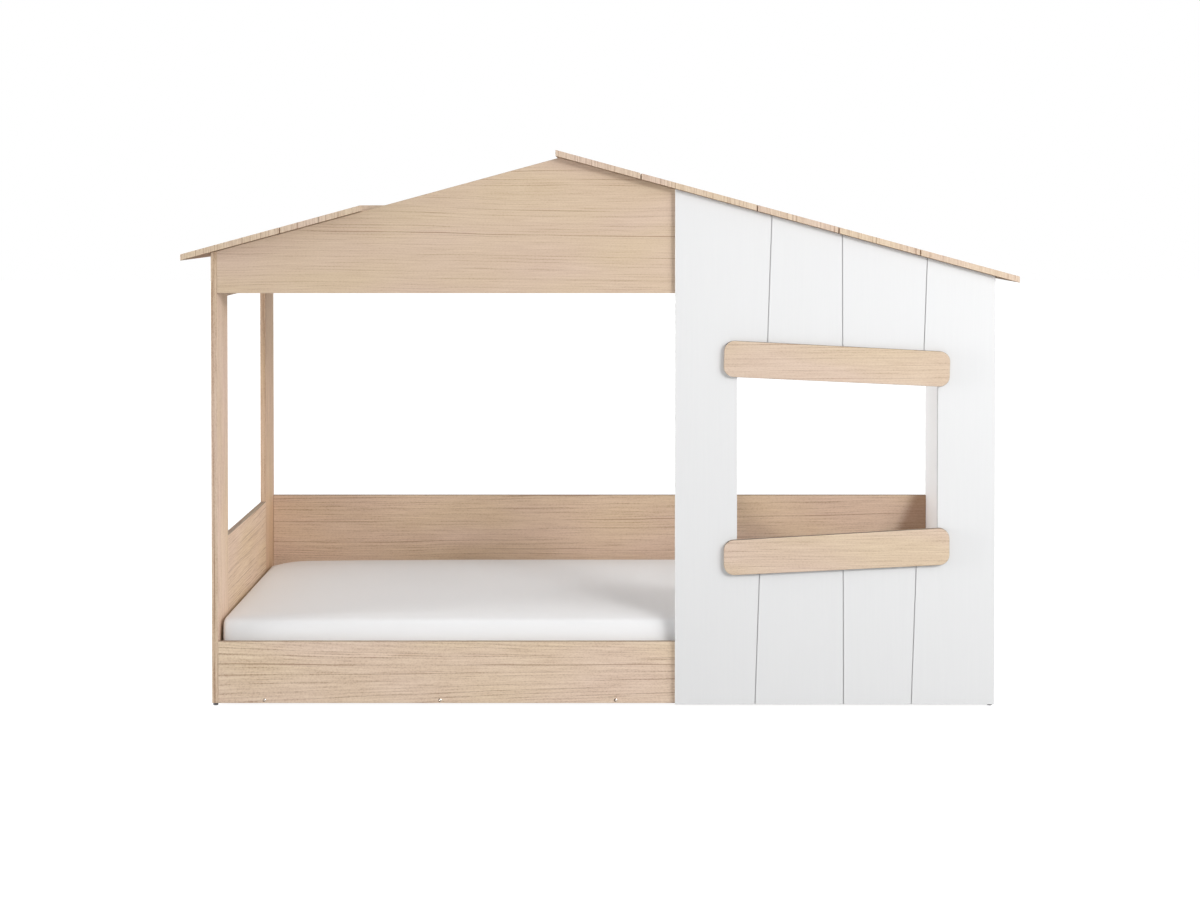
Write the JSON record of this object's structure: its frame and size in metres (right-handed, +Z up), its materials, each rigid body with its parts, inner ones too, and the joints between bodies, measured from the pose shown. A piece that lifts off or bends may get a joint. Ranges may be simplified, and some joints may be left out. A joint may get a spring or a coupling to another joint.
{
  "type": "house bed",
  "caption": "Low single bed shaped as a small house: boarded roof, open front, white end and white window wall, with a lift-out mattress on slats.",
  "frame": {"origin": "on the floor, under the middle of the bed's overall box", "axes": "+X along the bed towards the white end, +Y towards the back, +Z up; the open front faces -Y"},
  "size_m": [2.0922, 1.02, 1.3973],
  "materials": {
    "oak": "matte",
    "white": "satin",
    "pine": "matte",
    "sheet": "matte",
    "glide": "matte",
    "screw": "satin"
  },
  "bodies": {
    "bed_frame": {"left_front_stile": "oak", "left_rear_stile": "oak", "left_lower_panel": "oak", "left_top_rail": "oak", "right_end_panel": "white", "right_side_wall": "white", "front_guard": "oak", "rear_guard": "oak", "front_gable": "oak", "rear_gable": "oak", "roof_board_right_1": "oak", "roof_board_right_2": "oak", "roof_board_right_3": "oak", "roof_board_right_4": "oak", "roof_board_right_5": "oak", "roof_board_left_1": "oak", "roof_board_left_2": "oak", "front_facade": "white", "window_lintel": "oak", "window_sill": "oak", "front_ledge": "pine", "rear_ledge": "pine", "centre_runner": "pine", "slat_01": "pine", "slat_02": "pine", "slat_03": "pine", "slat_04": "pine", "slat_05": "pine", "slat_06": "pine", "slat_07": "pine", "slat_08": "pine", "slat_09": "pine", "slat_10": "pine", "slat_11": "pine", "slat_12": "pine", "glide_left_front": "glide", "glide_left_rear": "glide", "glide_right_front": "glide", "glide_right_rear": "glide", "glide_runner_left": "glide", "glide_runner_right": "glide", "front_ledge_screw_1": "screw", "front_ledge_screw_2": "screw", "front_ledge_screw_3": "screw", "front_ledge_screw_4": "screw", "front_ledge_screw_5": "screw", "rear_ledge_screw_1": "screw", "rear_ledge_screw_2": "screw", "rear_ledge_screw_3": "screw", "rear_ledge_screw_4": "screw", "rear_ledge_screw_5": "screw", "corner_screw_left_front_low": "screw", "corner_screw_left_front_high": "screw", "corner_screw_left_rear_low": "screw", "corner_screw_left_rear_high": "screw", "corner_screw_right_front_low": "screw", "corner_screw_right_front_high": "screw", "corner_screw_right_rear_low": "screw", "corner_screw_right_rear_high": "screw"},
    "mattress": {"mattress": "sheet"}
  },
  "joints": [
    {"name": "mattress_lift", "type": "slide", "parent": "bed_frame", "child": "mattress", "axis": [0, 0, 1], "range_m": [0, 0.4]}
  ]
}
